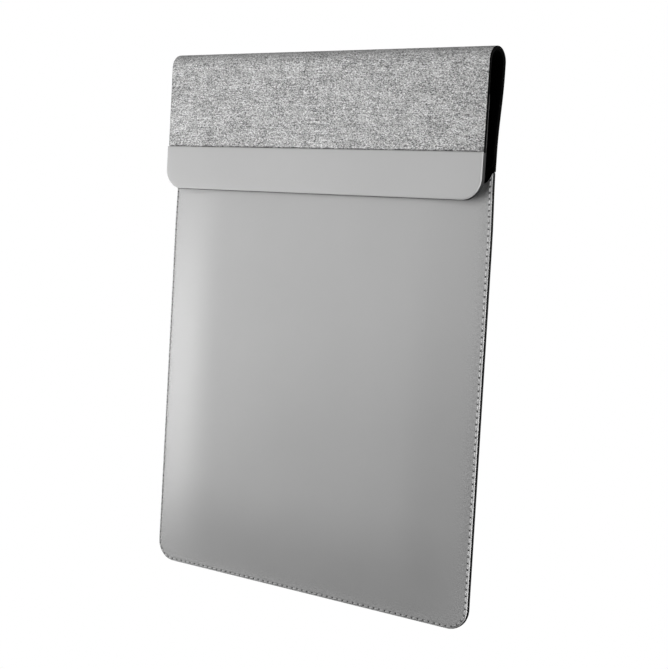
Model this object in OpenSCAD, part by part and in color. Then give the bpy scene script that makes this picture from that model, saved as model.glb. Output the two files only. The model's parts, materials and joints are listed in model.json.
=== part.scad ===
// Upright sleeve for a thin 13-inch notebook. A felt flap is folded over the mouth at the top.
// X is across the sleeve, +Y is towards its back, +Z is up, and the bottom edge stands on Z = 0.
// Every shape is first drawn about the seam plane, Y = 0, and then moved so that the whole
// sleeve is centred front to back.

/* [Body] */
// Width of the sleeve, outside the edge binding
body_w = 242; // [230:1:260]
// Height from the bottom edge to the top of the fold
body_h = 340.5; // [336:0.5:360]
// Height of the front panel, which is where the pocket opens
mouth_z = 263.5; // [262.5:0.5:265]
// Radius of the two bottom corners
corner_r = 13; // [10:1:16]
// Thickness of the sewn edge
edge_t = 2.5; // [2.3:0.1:3]
// How far the front and back bulge from the seam plane
bulge_h = 8.5; // [8:0.1:8.6]

/* [Layers] */
// Thickness of the outer leather
leather_t = 0.8; // [0.7:0.1:0.9]
// Thickness of the felt, and of the foam that pads the panels
felt_t = 1.8; // [1.6:0.1:1.9]
// Thickness of the lining
lining_t = 0.8; // [0.6:0.1:0.9]

/* [Flap] */
// Width of the flap
flap_w = 237; // [222:1:238]
// Distance from the seam plane to the front of the flap's felt
flap_y = 12.2; // [12.2:0.1:13]
// Outer radius of the fold
fold_r = 9; // [8.7:0.1:9.3]
// Height of the trim strip's lower edge
trim_z = 252.5; // [251.5:0.5:253]
// Height of the trim strip
trim_h = 27.5; // [26:0.5:30]
// Radius of the trim strip's lower corners
trim_r = 12.5; // [8:0.5:14]
// Height of the facing strip inside the flap
facing_h = 60; // [50:1:62]

/* [Seams] */
// Distance between neighbouring stitches
pitch = 3.9; // [3:0.1:5]
// Gap between two stitches
stitch_gap = 0.9; // [0.6:0.1:1.2]
// Radius of the sewing thread
thread_r = 0.25; // [0.15:0.05:0.25]
// Distance from the edge to the row of stitches
seam_inset = 1.75; // [1.6:0.05:2.5]
// Overlap of the back panel on the felt
lap = 8; // [7:0.5:9]

/* [Magnets] */
// Radius of one disc magnet
magnet_r = 4.5; // [4:0.1:4.6]
// Thickness of one disc magnet
magnet_t = 1.4; // [1:0.1:1.5]
// Distance of each magnet from the middle
magnet_x = 60; // [40:1:62]

/* [Hidden] */

hull_fn = 32;
gap = 0.03;                    // clearance between two layers that touch
end_gap = 0.3;                 // gap between two soft layers that meet end to end
bore_gap = 0.1;                // clearance round a magnet in its board
over = 1;                      // how far a cutter runs past what it cuts
half_w = body_w / 2;
half_edge = edge_t / 2;
web_t = 0.8;                   // the binding's tongue between the two panels
web_depth = 5.5;
rim_w = 0.5;                   // how far the binding stands proud of the panels' edges
leather_low = web_t / 2 + 0.05;

// Each surface of a panel is a list of rings: [inset from the edge, height over the seam plane].
leather_in_h = bulge_h - leather_t;
lining_out_h = leather_in_h - felt_t;
lining_in_h = lining_out_h - lining_t;
leather_out = [[5, half_edge], [13.4, bulge_h - 1.6], [37, bulge_h]];
groove_floor = [[5, half_edge - 0.5], [13.4, bulge_h - 2.1], [37, bulge_h - 2 * thread_r]];
leather_in = [[5.9, leather_low], [14, leather_in_h - 1.65], [37.3, leather_in_h]];
foam_out = [[6.1, leather_low], [14.1, leather_in_h - 1.7], [37.4, leather_in_h - gap]];
foam_in = [[7.2, 0.3], [13.8, lining_out_h - 0.4], [37, lining_out_h]];
lining_out = [[7.3, 0.28], [13.9, lining_out_h - 0.45], [37.1, lining_out_h - gap]];
lining_in = [[8, 0.1], [14.5, lining_in_h - 0.15], [37, lining_in_h]];

// The fold is half of a tube along X.
fold_z = body_h - fold_r;
fold_y = fold_r - flap_y;
fold_in_r = fold_r - felt_t;
fold_core_r = fold_in_r - lining_t;
hinge_angles = [30, 90, 150];
cut_half = 0.7;                // half of the gap between two pieces of the fold, in degrees

// Above the mouth the back is a list of rails: [inset, height over the seam plane, top]. The
// last rail is only the strip that joins the fold.
neck_z = 284;                  // top of the thin part over the sewn corners
neck_h = half_edge + 1.15;
shoulder_z = 306;
felt_outer = [[1, neck_h, neck_z], [12.6, leather_in_h - 1.4, shoulder_z],
              [37.3, leather_in_h, shoulder_z], [1.5, fold_y + fold_r, fold_z]];
felt_inner = [[0.3, 0.3, neck_z], [13.8, lining_out_h - 0.4, shoulder_z],
              [37, lining_out_h, shoulder_z], [0.3, fold_y + fold_in_r, fold_z]];
lining_inner = [[0, -0.6, neck_z], [14.5, lining_in_h - 0.15, shoulder_z],
                [37, lining_in_h, shoulder_z], [0, fold_y + fold_core_r, fold_z]];
wall_front = 2;                // how far the wall's convex spaces reach ahead of the seam plane
wall_low = mouth_z + 0.2;      // the felt's wall starts here, and its panel part ends at panel_top
panel_top = mouth_z + 0.6;
lining_wall_low = panel_top + 0.05;
lining_panel_top = mouth_z + 0.9;

hem_t = 0.8;                   // the turned edge on top of the mouth
band_z = mouth_z - 3.5;        // height of the stitches on the lap
mouth_row_z = mouth_z - 2.8;   // height of the stitches on the mouth's hem
row_half = 98;                 // half of the length of a straight row of stitches
facing_low = mouth_z - 28;     // lower edge of the facing inside the mouth
board_low = mouth_z - 16;      // lower edge of the mouth's board
board_half = 70;
magnet_z = mouth_z - 5.6;      // height of the magnets' centres
bobbin_r = 0.18;
channel_half = 0.35;           // half of the width of the channel round a straight row

trim_top = trim_z + trim_h;
flap_in_y = flap_y - felt_t;   // inner face of the flap's felt
facing_t = 0.8;
trim_t = 1;
felt_low = trim_top - 9;       // the felt's lower end, inside the trim
board_top = felt_low - end_gap;
facing_top = trim_z + facing_h;
lining_w = flap_w - 0.4;       // width of the flap's lining

// The row of stitches round the edge runs down the left side, along the bottom and up the right.
row_top = mouth_z - 1.5;
row_r = corner_r - seam_inset;
row_side = row_top - corner_r;
row_bend = row_r * PI / 2;
row_base = body_w - 2 * corner_r;
row_length = 2 * row_side + 2 * row_bend + row_base;
row_count = floor(row_length / pitch);
straight_count = floor(2 * row_half / pitch);

frame_y = (flap_y + trim_t - bulge_h) / 2;

// A panel's outline at an inset from the edge, with its two bottom corners rounded.
module outline(inset, top) {
    r = max(corner_r - inset, 5);
    w = half_w - inset;
    translate([-w, inset + r]) square([2 * w, top - inset - r]);
    translate([r - w, inset]) square([2 * (w - r), r + 0.01]);
    for (s = [-1, 1]) translate([s * (w - r), inset + r]) circle(r, $fn = hull_fn);
}

// A plate from height low to height high over the seam plane, on the front side.
module plate(low, high) {
    translate([0, -low, 0]) rotate([90, 0, 0]) linear_extrude(high - low) children();
}

// The convex space between the seam plane and one surface of the front panel.
module bulge(rings, top) {
    hull() for (r = rings) plate(0, r[1]) outline(r[0], top);
}

// The convex space inside one surface of the back, above the mouth.
module shoulder(rails, low, ahead) {
    hull() for (r = rails) {
        z = r[2] == fold_z ? fold_z - 1 : low;
        translate([r[0] - half_w, -ahead, z])
            cube([body_w - 2 * r[0], r[1] + ahead, r[2] - z]);
    }
}

// A block the full width of the sleeve between two heights.
module slice(low, high) {
    translate([-body_w, -body_w, low]) cube([2 * body_w, 2 * body_w, high - low]);
}

// A sector of the fold's tube between two radii, from angle a to angle b counted from the back.
module fold_sector(r_in, r_out, a, b, width) {
    translate([-width / 2, fold_y, fold_z]) rotate([90, 0, 90]) rotate([0, 0, a])
        rotate_extrude(angle = b - a, $fn = 96)
            translate([r_in, 0]) square([r_out - r_in, width]);
}

module front() { translate([0, frame_y, 0]) children(); }
module back() { translate([0, frame_y, 0]) mirror([0, 1, 0]) children(); }

// Height over the seam plane of a surface given by rings, at an inset from the edge.
function ring_height(rings, e) =
    e >= rings[2][0] ? rings[2][1] :
    e >= rings[1][0] ? ramp(rings[1], rings[2], e) : ramp(rings[0], rings[1], e);
function ramp(a, b, e) = a[1] + (b[1] - a[1]) * (e - a[0]) / (b[0] - a[0]);

// One panel's leather: a flat rim under the stitches, and a shell that bulges inside it.
module panel_leather(top) {
    difference() {
        union() {
            plate(leather_low, half_edge) difference() {
                outline(rim_w, top);
                outline(8, top + over);
            }
            bulge(leather_out, top);
        }
        bulge(leather_in, top + over);
        plate(-over, leather_low) outline(-over, top + 2 * over);
    }
}

// The channel that a straight row of stitches lies in.
module channel(row_z) {
    intersection() {
        difference() {
            plate(0, bulge_h + over) outline(-over, row_z + over);
            bulge(groove_floor, row_z + 2 * over);
        }
        slice(row_z - channel_half, row_z + channel_half);
        translate([-row_half - over, -2 * bulge_h, 0])
            cube([2 * (row_half + over), 2 * bulge_h, body_h]);
    }
}

module panel_foam(top) {
    difference() {
        bulge(foam_out, top);
        bulge(foam_in, top + over);
    }
}

module panel_lining(top) {
    difference() {
        bulge(lining_out, top);
        bulge(lining_in, top + over);
    }
}

// One stitch along the direction that angle gives, in the plane of a panel.
module stitch(length, radius, angle) {
    rotate([0, 90 - angle, 0]) cylinder(h = length, r = radius, center = true, $fn = 16);
}

// Position [x, z] and direction of a point at distance s along the row round the edge.
function row_point(s) =
    s < row_side ? [seam_inset - half_w, row_top - s, -90] :
    s < row_side + row_bend ? row_corner(-1, 180 + (s - row_side) / row_r * 180 / PI) :
    s < row_side + row_bend + row_base ?
        [corner_r - half_w + s - row_side - row_bend, seam_inset, 0] :
    s < row_length - row_side ?
        row_corner(1, 270 + (s - row_side - row_bend - row_base) / row_r * 180 / PI) :
    [half_w - seam_inset, corner_r + s - row_length + row_side, 90];
function row_corner(side, angle) =
    [side * (half_w - corner_r) + row_r * cos(angle), corner_r + row_r * sin(angle), angle + 90];

module edge_row() {
    for (i = [0 : row_count - 1]) {
        p = row_point((i + 0.5) * row_length / row_count);
        translate([p[0], -half_edge - thread_r, p[1]])
            stitch(pitch - stitch_gap, thread_r, p[2]);
    }
}

// A straight row of stitches that lies in a channel of the leather.
module channel_row(row_z) {
    for (i = [0 : straight_count - 1]) {
        x = (i + 0.5 - straight_count / 2) * pitch;
        h = ring_height(groove_floor, half_w - abs(x));
        dh = ring_height(groove_floor, half_w - abs(x) + 1) - h;
        translate([x, -h - thread_r, row_z]) rotate([0, 0, sign(x) * atan(dh)])
            stitch(pitch - stitch_gap, thread_r, 0);
    }
}

module front_leather() {
    color("#b9b9b9") front() difference() {
        union() {
            panel_leather(mouth_z);
            intersection() {
                difference() {
                    bulge(leather_out, mouth_z);
                    bulge(lining_in, mouth_z + over);
                }
                slice(mouth_z - hem_t, mouth_z);
            }
        }
        channel(mouth_row_z);
        plate(-over, leather_low) outline(-over, mouth_z + 2 * over);
    }
}

module front_foam() {
    color("#3c3c3e") front() panel_foam(board_low - end_gap);
}

module front_lining() {
    color("#151515") front() panel_lining(facing_low - end_gap);
}

module mouth_facing() {
    color("#2b2b2c") front() difference() {
        intersection() {
            panel_lining(mouth_z - hem_t - gap);
            slice(facing_low, mouth_z);
        }
        translate([-row_half - over, -lining_in_h - 2 * bobbin_r, mouth_row_z - channel_half])
            cube([2 * (row_half + over), bulge_h, 2 * channel_half]);
    }
}

module mouth_board() {
    color("#202022") front() difference() {
        translate([-board_half, -leather_in_h + gap, board_low])
            cube([2 * board_half, felt_t - 2 * gap, mouth_z - hem_t - gap - board_low]);
        for (s = [-1, 1]) translate([s * magnet_x, 0, magnet_z]) rotate([90, 0, 0])
            cylinder(h = 2 * bulge_h, r = magnet_r + bore_gap, $fn = 48);
    }
}

// Two disc magnets centred at height z, whose outer faces are at height y over the seam plane.
module magnet_pair(y, z) {
    for (s = [-1, 1]) translate([s * magnet_x, -y + magnet_t, z]) rotate([90, 0, 0])
        cylinder(h = magnet_t, r = magnet_r, $fn = 48);
}

module mouth_magnets() {
    color("#a8aaad") front() magnet_pair(leather_in_h - bore_gap, magnet_z);
}

module mouth_needle_thread() {
    color("#d6d6d6") front() channel_row(mouth_row_z);
}

module mouth_bobbin_thread() {
    color("#d6d6d6") front() for (i = [0 : straight_count - 1])
        translate([(i + 0.5 - straight_count / 2) * pitch, -lining_in_h - bobbin_r, mouth_row_z])
            stitch(pitch - stitch_gap, bobbin_r, 0);
}

module back_leather() {
    color("#b0b0b0") back() difference() {
        panel_leather(mouth_z);
        channel(band_z);
    }
}

module back_foam() {
    color("#3c3c3e") back() panel_foam(mouth_z - lap - end_gap);
}

module back_felt() {
    color("#8d8d8d") union() {
        back() intersection() {
            panel_foam(panel_top);
            slice(mouth_z - lap, body_h);
        }
        front() difference() {
            shoulder(felt_outer, wall_low, wall_front);
            shoulder(felt_inner, mouth_z - over, wall_front + 2 * over);
        }
        front() fold_sector(fold_in_r, fold_r, 0, hinge_angles[0] - cut_half, flap_w);
    }
}

module back_lining() {
    color("#121212") union() {
        back() panel_lining(lining_panel_top);
        front() difference() {
            intersection() {
                translate([0, -gap, 0]) shoulder(felt_inner, lining_wall_low, wall_front + over);
                translate([-lining_w / 2, -half_w, 0]) cube([lining_w, body_w, body_h]);
            }
            shoulder(lining_inner, mouth_z - over, wall_front + 2 * over);
        }
        front() fold_sector(fold_core_r, fold_in_r - gap, 0, hinge_angles[0] - cut_half, lining_w);
    }
}

module band_thread() {
    color("#d6d6d6") back() channel_row(band_z);
}

module edge_binding() {
    color("#0d0d0e") front() union() {
        plate(-half_edge, half_edge) difference() {
            outline(0, mouth_z);
            outline(rim_w - 0.05, mouth_z + over);
        }
        plate(-web_t / 2, web_t / 2) difference() {
            outline(rim_w - 0.1, mouth_z);
            outline(web_depth, mouth_z + over);
        }
    }
}

module seam_needle_thread() { color("#dcdcdc") front() edge_row(); }
module seam_bobbin_thread() { color("#dcdcdc") back() edge_row(); }

// One piece of the fold between two neighbouring hinges: of felt, or of lining.
module fold_piece(hinge, r_in, r_out, width) {
    front() fold_sector(r_in, r_out, hinge_angles[hinge] + cut_half,
                        hinge_angles[hinge + 1] - cut_half, width);
}

module fold_felt_rear() { color("#8d8d8d") fold_piece(0, fold_in_r, fold_r, flap_w); }
module fold_felt_front() { color("#8d8d8d") fold_piece(1, fold_in_r, fold_r, flap_w); }
module fold_lining_rear() {
    color("#121212") fold_piece(0, fold_core_r, fold_in_r - gap, lining_w);
}
module fold_lining_front() {
    color("#121212") fold_piece(1, fold_core_r, fold_in_r - gap, lining_w);
}

// A sheet of the flap that hangs from height low and turns into the fold at angle a.
module hanging_sheet(r_in, r_out, a, low, width) {
    steps = 12;
    angles = [for (i = [0 : steps]) a + (180 - a) * i / steps];
    outer = [for (t = angles) [fold_y + r_out * cos(t), fold_z + r_out * sin(t)]];
    inner = [for (i = [steps : -1 : 0])
        [fold_y + r_in * cos(angles[i]), fold_z + r_in * sin(angles[i])]];
    ends = [[fold_y - r_out, low], [fold_y - r_in, low]];
    translate([-width / 2, 0, 0]) rotate([90, 0, 90])
        linear_extrude(width) polygon(concat(outer, ends, inner));
}

// The flap's end between two distances from the seam plane, with rounded lower corners.
module rounded_strip(near, far, low, high, width, r) {
    plate(near, far) intersection() {
        translate([-width / 2, low]) square([width, high - low]);
        union() {
            translate([-width / 2, low + r]) square([width, high - low]);
            translate([r - width / 2, low]) square([width - 2 * r, r + 0.01]);
            for (s = [-1, 1]) translate([s * (width / 2 - r), low + r]) circle(r, $fn = 64);
        }
    }
}

module flap_felt() {
    color("#8d8d8d") front()
        hanging_sheet(fold_in_r, fold_r, hinge_angles[2] + cut_half, felt_low, flap_w);
}

module flap_lining() {
    color("#121212") front()
        hanging_sheet(fold_core_r, fold_in_r - gap, hinge_angles[2] + cut_half,
                      facing_top + end_gap, lining_w);
}

module flap_trim() {
    color("#bdbdbd") front()
        rounded_strip(flap_y + gap, flap_y + trim_t, trim_z, trim_top, flap_w, trim_r);
}

module flap_facing() {
    color("#3a3a3b") front()
        rounded_strip(flap_in_y - facing_t, flap_in_y - gap, trim_z, facing_top, flap_w, trim_r);
}

module flap_board() {
    color("#202022") front() difference() {
        rounded_strip(flap_in_y, flap_y, trim_z, board_top, flap_w, trim_r);
        for (s = [-1, 1]) translate([s * magnet_x, 0, magnet_z]) rotate([90, 0, 0])
            cylinder(h = 2 * flap_y, r = magnet_r + bore_gap, $fn = 48);
    }
}

module flap_magnets() {
    color("#a8aaad") front() magnet_pair(flap_in_y + bore_gap + magnet_t, magnet_z);
}

front_leather();
front_foam();
front_lining();
mouth_facing();
mouth_board();
mouth_magnets();
mouth_needle_thread();
mouth_bobbin_thread();
back_leather();
back_foam();
back_felt();
back_lining();
band_thread();
edge_binding();
seam_needle_thread();
seam_bobbin_thread();
fold_felt_rear();
fold_felt_front();
fold_lining_rear();
fold_lining_front();
flap_felt();
flap_lining();
flap_trim();
flap_facing();
flap_board();
flap_magnets();
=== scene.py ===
"""Laptop sleeve: the visual model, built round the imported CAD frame.

The frame is in metres. The builders below work in millimetres: x across the sleeve, z up, and
heights over the seam plane, the plane in which the front and back panels are sewn together.
"""
import json
import math

import bmesh
import bpy
import numpy as np
from mathutils import Matrix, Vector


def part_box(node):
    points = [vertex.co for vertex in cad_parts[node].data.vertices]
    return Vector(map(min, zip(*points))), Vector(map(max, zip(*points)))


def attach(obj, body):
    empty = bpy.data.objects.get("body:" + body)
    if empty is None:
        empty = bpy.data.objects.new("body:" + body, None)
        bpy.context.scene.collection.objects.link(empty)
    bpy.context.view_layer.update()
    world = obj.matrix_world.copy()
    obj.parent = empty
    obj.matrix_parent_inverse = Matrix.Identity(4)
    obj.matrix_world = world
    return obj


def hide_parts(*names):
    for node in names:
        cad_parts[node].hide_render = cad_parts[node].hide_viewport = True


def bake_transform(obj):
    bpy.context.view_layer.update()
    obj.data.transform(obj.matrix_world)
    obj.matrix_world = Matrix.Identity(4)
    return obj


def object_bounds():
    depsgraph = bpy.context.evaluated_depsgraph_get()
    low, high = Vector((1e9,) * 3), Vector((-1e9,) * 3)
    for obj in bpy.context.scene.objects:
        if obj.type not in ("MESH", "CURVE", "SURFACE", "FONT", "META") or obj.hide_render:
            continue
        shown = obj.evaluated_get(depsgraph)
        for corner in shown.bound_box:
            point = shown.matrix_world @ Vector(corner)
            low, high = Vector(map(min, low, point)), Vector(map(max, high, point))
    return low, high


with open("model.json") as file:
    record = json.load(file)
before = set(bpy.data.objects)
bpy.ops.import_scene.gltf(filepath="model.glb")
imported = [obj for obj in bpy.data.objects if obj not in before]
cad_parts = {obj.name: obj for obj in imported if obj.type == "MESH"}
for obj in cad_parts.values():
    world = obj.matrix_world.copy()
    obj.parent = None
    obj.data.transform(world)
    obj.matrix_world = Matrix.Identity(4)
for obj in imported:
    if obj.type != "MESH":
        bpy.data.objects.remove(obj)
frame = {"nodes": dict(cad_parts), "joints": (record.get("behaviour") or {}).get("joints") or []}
cad_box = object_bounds()

MM = 0.001
FRONT, BACK = -1, 1


# -------------------------------- sizes, from the frame

def node_box(node):
    """Lowest and highest corner of a CAD node, in millimetres."""
    low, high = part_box(node)
    return np.array(low) / MM, np.array(high) / MM


binding_low, binding_high = node_box("edge_binding")
leather_low, leather_high = node_box("front_leather")
trim_low, trim_high = node_box("flap_trim")
board_low, board_high = node_box("flap_board")
facing_low, facing_high = node_box("flap_facing")
mouth_facing_low, mouth_facing_high = node_box("mouth_facing")
apex_y = next(j["pos_m"][1] for j in frame["joints"] if j["name"] == "fold_bend") / MM

HALF_W = binding_high[0]
SEAM_Y = (binding_low[1] + binding_high[1]) / 2
HALF_EDGE = (binding_high[1] - binding_low[1]) / 2
MOUTH_Z = leather_high[2]
BULGE = SEAM_Y - leather_low[1]
TOP_Z = cad_box[1][2] / MM
FLAP_HALF = trim_high[0]
FLAP_Y = SEAM_Y - board_low[1]             # front of the flap's felt, ahead of the seam plane
FELT_T = board_high[1] - board_low[1]
FOLD_Y = apex_y - SEAM_Y
FOLD_R = FLAP_Y + FOLD_Y
FOLD_Z = TOP_Z - FOLD_R

LEATHER_T, LINING_T = 0.8, 0.8             # thickness of the leather and of the lining
GAP = 0.03                                 # air between two layers
CORNER_R = 13.0                            # radius of the two lower corners
STITCH_LENGTH = 3.9
SEAM_INSET = 1.45                          # from the cut edge to the row of stitches
LAP = 8.0                                  # how far the back panel is lapped over the felt
NARROWING = 1.2                            # how much each side comes in, from base to mouth
TURN_IN = 0.9                              # and how much more near the sewn corners,
TURN_START, TURN_HEIGHT = 228.0, 44.0      # from this height, over this height
HORN = 6.0                                 # how far the sewn corners rise over the mouth
HORN_WIDTH, HORN_SHARPNESS = 2.2, 1.3      # and the shape of their inner sides
CORNER_SAG = 1.5                           # how much the mouth sags beside each corner,
SAG_INSET, SAG_WIDTH = 11.0, 9.0           # this far in from the side, and this wide
MOUTH_EASE = 36.0                          # height over which the panels take up the mouth's line
SIDE_RISE, BASE_RISE = 46.0, 60.0          # width of the padded slope at the sides and the base
SIDE_SOFT, BASE_SOFT = 0.04, 0.08          # share of each slope that is rounded at its foot
FLAT_RIM = 1.9                             # width of the flat rim under the stitches
BACK_EDGE = 2.0                            # height of the back panel's rim
FELT_EDGE = 2.5                            # height of the back felt's sides over the mouth
RIM_TOP = MOUTH_Z + HORN
ROW_TOP = RIM_TOP - 1.5                    # the row of stitches ends under the corners' tips

# the least height of each layer over the seam plane, where the panels are sewn together
LEATHER_LOW, BACK_LEATHER_LOW, PADDING_LOW, LINING_LOW = 0.42, 0.5, 0.28, 0.06


# -------------------------------- shape of the padded panels

def smooth(t):
    """From 0 to 1 with no kink at either end."""
    t = np.clip(t, 0, 1)
    return t * t * (3 - 2 * t)


def soft_ramp(t, soft):
    """t from 0 to 1 with its start rounded off."""
    t = np.clip(t, 0, 1)
    return np.where(t < soft, t * t / (2 * soft), t - soft / 2) / (1 - soft / 2)


def pillow(t, straight=0.42):
    """Rises evenly from 0, then rounds over to reach 1 level, as a padded panel does."""
    slope = 2 / (1 + straight)
    return np.where(t < straight, slope * t, 1 - slope * (1 - t) ** 2 / (2 * (1 - straight)))


def half_at(z):
    """Half of the sleeve's width at height z."""
    turned = smooth((z - TURN_START) / TURN_HEIGHT)
    return HALF_W - NARROWING * np.clip(z / RIM_TOP, 0, 1) - TURN_IN * turned


def sag(x):
    """How far the mouth hangs at x, beside the sewn corners."""
    return CORNER_SAG * np.exp(-((HALF_W - SAG_INSET - np.abs(x)) / SAG_WIDTH) ** 2)


def eased(z, top):
    """From 0 to 1 over the stretch below a height, top."""
    return smooth((z - top + MOUTH_EASE) / MOUTH_EASE)


def dip(x, z):
    """The panels' tops run lower than their sewn corners: z, moved down to suit."""
    inset = np.maximum(half_at(z) - np.abs(x), 0)
    depth = HORN * (1 - np.exp(-(inset / HORN_WIDTH) ** HORN_SHARPNESS)) + sag(x)
    return z - depth * eased(z, RIM_TOP)


def corner_inset(z):
    """How far in from the side the panels' top edge is at height z, up to the corner's tip."""
    least_rise = 0.085
    rise = min(max((z - MOUTH_Z) / HORN, least_rise), 1.0)
    return HORN_WIDTH * (-math.log(rise)) ** (1 / HORN_SHARPNESS)


def swell(x, z, rim=HALF_EDGE):
    """Height of a panel's outside over the seam plane."""
    side = pillow(soft_ramp((half_at(z) - np.abs(x) - FLAT_RIM) / SIDE_RISE, SIDE_SOFT))
    base = pillow(soft_ramp((z - FLAT_RIM) / BASE_RISE, BASE_SOFT))
    return rim + (BULGE - rim) * side * base


def swell_back(x, z):
    """The back panel's outside; the functions after it are the undersides, going inwards."""
    return swell(x, z, BACK_EDGE)


def under_leather(x, z):
    return np.maximum(swell(x, z) - LEATHER_T, LEATHER_LOW)


def under_back_leather(x, z):
    return np.maximum(swell_back(x, z) - LEATHER_T, BACK_LEATHER_LOW)


def under_padding(x, z):
    return np.maximum(under_leather(x, z) - GAP - FELT_T, PADDING_LOW)


def under_lining(x, z):
    return np.maximum(under_padding(x, z) - GAP - LINING_T, LINING_LOW)


def back_felt_height(x, z):
    """Height of the felt's outside on the back, from the lap up to the fold."""
    edge_rise = 7.0                        # height over which the sides come up to FELT_EDGE
    slope_start = 18.0                     # above the mouth at the sides, twice that in the middle
    slope_end = 6.0                        # below the fold
    low = swell(x, z * 0 + MOUTH_Z) - LEATHER_T
    low = low + np.maximum(FELT_EDGE - low, 0) * smooth((z - MOUTH_Z) / edge_rise)
    middle = smooth((HALF_W - np.abs(x)) / SIDE_RISE)
    start = MOUTH_Z + slope_start * (1 + middle)
    end = FOLD_Z - slope_end
    return low + (FOLD_Y + FOLD_R - low) * smooth((z - start) / (end - start))


# -------------------------------- mesh helpers

def add_mesh(name, points, faces, *materials):
    """A mesh object from points in millimetres, smooth shaded, with its normals outwards."""
    mesh = bpy.data.meshes.new(name)
    mesh.from_pydata((np.asarray(points, float).reshape(-1, 3) * MM).tolist(), [], faces)
    mesh.update()
    for m in materials:
        mesh.materials.append(m)
    obj = bpy.data.objects.new(name, mesh)
    bpy.context.scene.collection.objects.link(obj)
    bpy.context.view_layer.objects.active = obj
    outwards(mesh)
    mesh.shade_smooth()
    return obj


def outwards(mesh):
    """Turns all faces of a closed mesh outwards."""
    bm = bmesh.new()
    bm.from_mesh(mesh)
    bmesh.ops.recalc_face_normals(bm, faces=bm.faces)
    bm.to_mesh(mesh)
    bm.free()


def grid_faces(first, rows, cols):
    """Quads of a grid of rows x cols points that starts at index first."""
    i, j = np.meshgrid(np.arange(rows - 1), np.arange(cols - 1), indexing="ij")
    a = (first + i * cols + j).ravel()
    return np.stack([a, a + 1, a + cols + 1, a + cols], 1).tolist()


def bridge(loop_a, loop_b, closed=True):
    """Quads between two rows of indices of the same length."""
    n = len(loop_a)
    last = n if closed else n - 1
    return [[loop_a[k], loop_a[(k + 1) % n], loop_b[(k + 1) % n], loop_b[k]]
            for k in range(last)]


def sweep_faces(n, m):
    """Faces of a closed tube of n loops of m points, shut at both ends."""
    faces = []
    for i in range(n - 1):
        faces += bridge(range(i * m, (i + 1) * m), range((i + 1) * m, (i + 2) * m))
    return faces + [list(range(m)), list(range((n - 1) * m, n * m))]


def swept(name, loops, mat, sharp):
    """A closed bar from rows of points that run along it, one for each point of its section."""
    points = np.stack(loops, 1)
    obj = add_mesh(name, points, sweep_faces(*points.shape[:2]), mat)
    sharpen(obj, sharp)
    return obj


def grid_border(first, rows, cols):
    """Indices round a grid's border, in order."""
    index = first + np.arange(rows * cols).reshape(rows, cols)
    return np.concatenate([index[0, :-1], index[:-1, -1], index[-1, :0:-1],
                           index[:0:-1, 0]]).tolist()


def slab(name, outer, inner, *materials):
    """A closed sheet between two grids of points of the same shape."""
    rows, cols = outer.shape[:2]
    count = rows * cols
    faces = grid_faces(0, rows, cols) + grid_faces(count, rows, cols)
    faces += bridge(grid_border(0, rows, cols), grid_border(count, rows, cols))
    points = np.concatenate([outer.reshape(-1, 3), inner.reshape(-1, 3)])
    return add_mesh(name, points, faces, *materials)


def stand_in(obj, nodes, body):
    """Says which CAD nodes a piece stands for and the body it rides."""
    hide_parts(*nodes)
    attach(obj, body)


def store(obj, name, values):
    """A number for each vertex, which materials can read."""
    layer = obj.data.attributes.new(name, "FLOAT", "POINT")
    layer.data.foreach_set("value", np.asarray(values, np.float32))


def vertices(obj):
    """The mesh's points in millimetres."""
    co = np.empty(len(obj.data.vertices) * 3)
    obj.data.vertices.foreach_get("co", co)
    return co.reshape(-1, 3) / MM


def sharpen(obj, degrees):
    """Shades edges that turn by more than an angle as sharp."""
    obj.data.set_sharp_from_angle(angle=math.radians(degrees))


# -------------------------------- materials

def grey(shade):
    """A shade of grey as a colour."""
    return (shade, shade, shade, 1)


def material(name, shade, roughness, specular=0.5):
    """A Principled material: returns it with its node tree and shader."""
    mat = bpy.data.materials.new(name)
    mat.use_nodes = True
    tree = mat.node_tree
    shader = tree.nodes["Principled BSDF"]
    shader.inputs["Base Color"].default_value = grey(shade)
    shader.inputs["Roughness"].default_value = roughness
    shader.inputs["Specular IOR Level"].default_value = specular
    mat.diffuse_color = grey(shade)
    return mat, tree, shader


def add_node(tree, kind, **inputs):
    """A shader node with some of its inputs set; an underscore stands for a space."""
    node = tree.nodes.new(kind)
    for key, value in inputs.items():
        node.inputs[key.replace("_", " ")].default_value = value
    return node


def coordinates(tree, stretch=(1, 1, 1)):
    """Object coordinates in metres, scaled along each axis."""
    source = tree.nodes.new("ShaderNodeTexCoord")
    mapping = add_node(tree, "ShaderNodeMapping", Scale=stretch)
    tree.links.new(source.outputs["Object"], mapping.inputs["Vector"])
    return mapping.outputs["Vector"]


def noise(tree, vector, scale, detail=2.0, roughness=0.5, distortion=0.0):
    """Noise from 0 to 1; the scale is in features for each metre."""
    node = add_node(tree, "ShaderNodeTexNoise", Scale=scale, Detail=detail,
                    Roughness=roughness, Distortion=distortion)
    tree.links.new(vector, node.inputs["Vector"])
    return node.outputs["Fac"]


def math_node(tree, operation, a, b=None, c=None, clamp=False):
    """One step of arithmetic on numbers or on the outputs of other nodes."""
    node = tree.nodes.new("ShaderNodeMath")
    node.operation = operation
    node.use_clamp = clamp
    for slot, value in enumerate((a, b, c)):
        if value is None:
            continue
        if isinstance(value, (int, float)):
            node.inputs[slot].default_value = value
        else:
            tree.links.new(value, node.inputs[slot])
    return node.outputs[0]


def scaled(tree, value, factor, offset):
    """value x factor + offset."""
    return math_node(tree, "MULTIPLY_ADD", value, factor, offset)


def times(tree, a, b):
    """a x b."""
    return math_node(tree, "MULTIPLY", a, b)


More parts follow.
